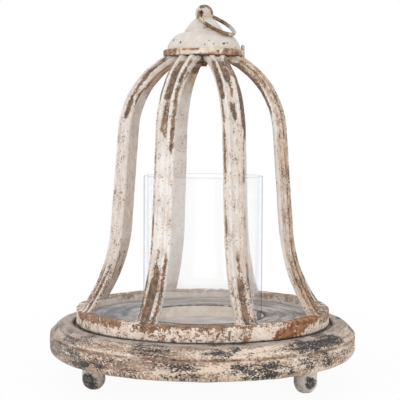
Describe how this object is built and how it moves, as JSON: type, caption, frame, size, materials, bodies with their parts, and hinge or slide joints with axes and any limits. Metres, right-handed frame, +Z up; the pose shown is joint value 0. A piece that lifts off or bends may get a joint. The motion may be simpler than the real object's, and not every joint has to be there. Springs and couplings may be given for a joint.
{
  "type": "candle lantern",
  "caption": "Bell-shaped candle lantern: a cage of fluted ribs with a domed cap and ring handle lifts off a round footed base, over a glass sleeve that stands in the floor.",
  "frame": {"origin": "middle of the footprint, on the surface that the feet stand on", "axes": "+Z up the lantern's axis, -Y towards the front of the picture"},
  "size_m": [0.305, 0.305, 0.3737],
  "materials": {
    "base_paint": "turned wood, beige paint worn through to charcoal",
    "foot_paint": "turned wood, cream paint worn through to slate",
    "floor_paint": "flat board, grey wash with smudges",
    "cage_paint": "ivory chalk paint, chipped and rubbed through to brown",
    "cap_paint": "ivory chalk paint with a few chips",
    "crown_brown": "brown-gold undercoat, rubbed",
    "handle_brown": "brown-gold undercoat over grey metal",
    "dull_steel": "dull grey metal",
    "zinc_steel": "zinc plated",
    "clear_glass": "clear, polished rim"
  },
  "bodies": {
    "base": {"base_disc": "base_paint", "floor_board": "floor_paint", "board_screws": "zinc_steel", "foot_1": "foot_paint", "foot_2": "foot_paint", "foot_3": "foot_paint"},
    "cage": {"cage_ring": "cage_paint", "rib_1": "cage_paint", "rib_2": "cage_paint", "rib_3": "cage_paint", "rib_4": "cage_paint", "rib_5": "cage_paint", "rib_6": "cage_paint", "rib_7": "cage_paint", "rib_8": "cage_paint", "crown_ring": "crown_brown", "crown_plate": "crown_brown", "cap_dome": "cap_paint", "cap_pin": "dull_steel", "finial": "cap_paint", "crown_stud": "zinc_steel", "crown_washer": "zinc_steel", "crown_nut": "zinc_steel"},
    "glass": {"glass_sleeve": "clear_glass"},
    "handle": {"handle_ring": "handle_brown"}
  },
  "joints": [
    {"name": "cage_lift", "type": "slide", "parent": "base", "child": "cage", "axis": [0, 0, 1], "range_m": [0, 0.2]},
    {"name": "glass_lift", "type": "slide", "parent": "base", "child": "glass", "axis": [0, 0, 1], "range_m": [0, 0.04]},
    {"name": "handle_swing", "type": "hinge", "parent": "cage", "child": "handle", "pos_m": [0, 0, 0.36382], "axis": [-0.5736, -0.8192, 0], "range_deg": [0, 246.7]}
  ]
}
